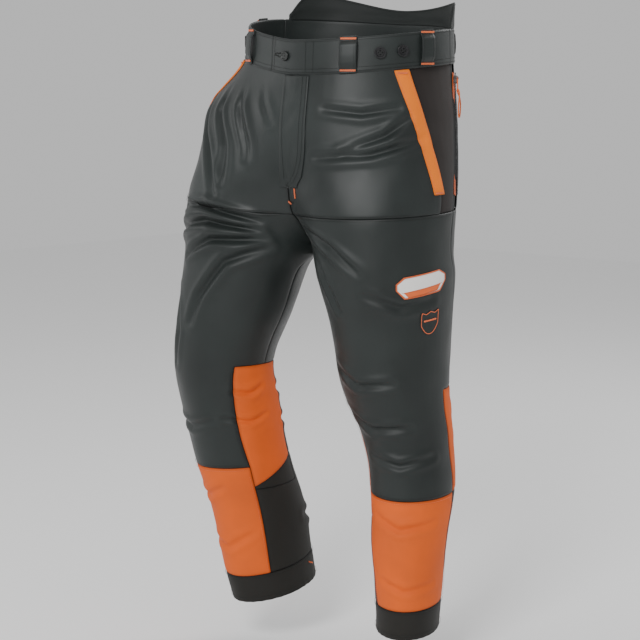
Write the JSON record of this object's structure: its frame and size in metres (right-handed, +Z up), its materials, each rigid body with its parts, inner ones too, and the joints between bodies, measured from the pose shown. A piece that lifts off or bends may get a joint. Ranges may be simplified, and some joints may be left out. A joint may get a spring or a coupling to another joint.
{
  "type": "forestry protective trousers",
  "caption": "Forestry protective trousers with cut-resistant leg pads, worn with one leg forward: raised back yoke, belt loops, brace buttons, slanted pockets, side zip, orange shin panels.",
  "frame": {"origin": "centre of the waist opening, level with the waistband's top edge at the centre front", "axes": "+Z up along the height, +X towards the wearer's left, -Y towards the front"},
  "size_m": [0.5184, 0.4092, 1.1182],
  "materials": {
    "back_cloth": "plain ripstop stretch cloth, brown-black",
    "badge_cloth": "woven label, white and orange",
    "band_cloth": "satin-weave polyester, doubled, dark green-grey",
    "button": "moulded plastic, satin",
    "lining": "knitted lining",
    "orange_cloth": "plain-weave abrasion cloth, hi-vis orange",
    "pad_fill": "layered cut-resistant fibre pad",
    "pull_cord": "braided cord, orange",
    "shell_cloth": "satin-weave polyester, dark green-grey",
    "side_tape": "woven zip tape, orange",
    "stitching": "dense thread, orange-red",
    "tack_metal": "gunmetal",
    "welt_trim": "orange piping cloth",
    "yoke_cloth": "padded cloth, near black",
    "zip_metal": "black enamelled zinc",
    "zip_tape": "woven zip tape",
    "zip_teeth": "moulded plastic"
  },
  "bodies": {
    "trousers": {"back_yoke": "yoke_cloth", "badge": "badge_cloth", "bartacks": "stitching", "belt_loop_back_centre": "shell_cloth", "belt_loop_back_left": "shell_cloth", "belt_loop_back_right": "shell_cloth", "belt_loop_front_left": "shell_cloth", "belt_loop_front_right": "shell_cloth", "belt_loop_side_left": "shell_cloth", "belt_loop_side_right": "shell_cloth", "brace_buttons_back": "button", "brace_buttons_front_left": "button", "brace_buttons_front_right": "button", "cut_pad_left": "pad_fill", "cut_pad_right": "pad_fill", "emblem": "badge_cloth", "fly_placket": "band_cloth", "fly_shield": "lining", "fly_zip_tape": "zip_tape", "fly_zip_teeth": "zip_teeth", "hip_front_panel_left": "shell_cloth", "hip_front_panel_right": "shell_cloth", "knee_back_panel_left": "shell_cloth", "knee_back_panel_right": "shell_cloth", "knee_front_panel_left": "shell_cloth", "knee_front_panel_right": "shell_cloth", "knee_inner_strip_left": "orange_cloth", "knee_inner_strip_right": "orange_cloth", "knee_outer_strip_left": "orange_cloth", "knee_outer_strip_right": "orange_cloth", "pocket_bag_left": "lining", "pocket_bag_right": "lining", "pocket_facing_left": "back_cloth", "pocket_facing_right": "back_cloth", "pocket_welt_left": "welt_trim", "pocket_welt_right": "welt_trim", "seat_panel_left": "shell_cloth", "seat_panel_right": "shell_cloth", "side_zip_tape": "side_tape", "side_zip_teeth": "zip_teeth", "thigh_back_panel_left": "shell_cloth", "thigh_back_panel_right": "shell_cloth", "thigh_front_panel_left": "shell_cloth", "thigh_front_panel_right": "shell_cloth", "waist_button_tack": "tack_metal", "waistband_back": "band_cloth", "waistband_left_front": "band_cloth", "waistband_right_front": "band_cloth"},
    "side_zip_slider": {"side_zip_slider": "zip_metal"},
    "side_zip_pull": {"side_zip_pull": "zip_metal", "side_zip_cord": "pull_cord"},
    "fly_zip_slider": {"fly_zip_slider": "zip_metal"},
    "fly_zip_pull": {"fly_zip_pull": "zip_metal"},
    "waist_button": {"waist_button": "tack_metal"},
    "left_shin": {"shin_front_panel_left": "orange_cloth", "calf_back_panel_left": "back_cloth", "hem_cuff_left": "back_cloth"},
    "right_shin": {"shin_front_panel_right": "orange_cloth", "calf_back_panel_right": "back_cloth", "hem_cuff_right": "back_cloth"}
  },
  "joints": [
    {"name": "left_knee", "type": "hinge", "parent": "trousers", "child": "left_shin", "pos_m": [0.147, -0.04, -0.666], "axis": [1, 0, 0], "range_deg": [0, 60], "deforming": ["knee_front_panel_left", "knee_back_panel_left", "knee_inner_strip_left", "knee_outer_strip_left", "cut_pad_left"]},
    {"name": "right_knee", "type": "hinge", "parent": "trousers", "child": "right_shin", "pos_m": [-0.169, -0.142, -0.638], "axis": [1, 0, 0], "range_deg": [0, 60], "deforming": ["knee_front_panel_right", "knee_back_panel_right", "knee_inner_strip_right", "knee_outer_strip_right", "cut_pad_right"]},
    {"name": "side_zip_slide", "type": "slide", "parent": "trousers", "child": "side_zip_slider", "axis": [0.1671, -0.1847, -0.9685], "range_m": [0, 0.18]},
    {"name": "side_pull_hinge", "type": "hinge", "parent": "side_zip_slider", "child": "side_zip_pull", "pos_m": [0.18329, 0.07239, -0.06579], "axis": [-0.4459, 0.862, -0.2413], "range_deg": [-160, 0]},
    {"name": "fly_zip_slide", "type": "slide", "parent": "trousers", "child": "fly_zip_slider", "axis": [0.0488, -0.0923, -0.9945], "range_m": [0, 0.11]},
    {"name": "fly_pull_hinge", "type": "hinge", "parent": "fly_zip_slider", "child": "fly_zip_pull", "pos_m": [0.00212, -0.15275, -0.08034], "axis": [0.9988, 0, 0.049], "range_deg": [-15, 0]},
    {"name": "waist_button_turn", "type": "hinge", "parent": "trousers", "child": "waist_button", "pos_m": [-0.01307, -0.16025, -0.02776], "axis": [-0.0507, -0.9987, 0], "continuous": true}
  ]
}
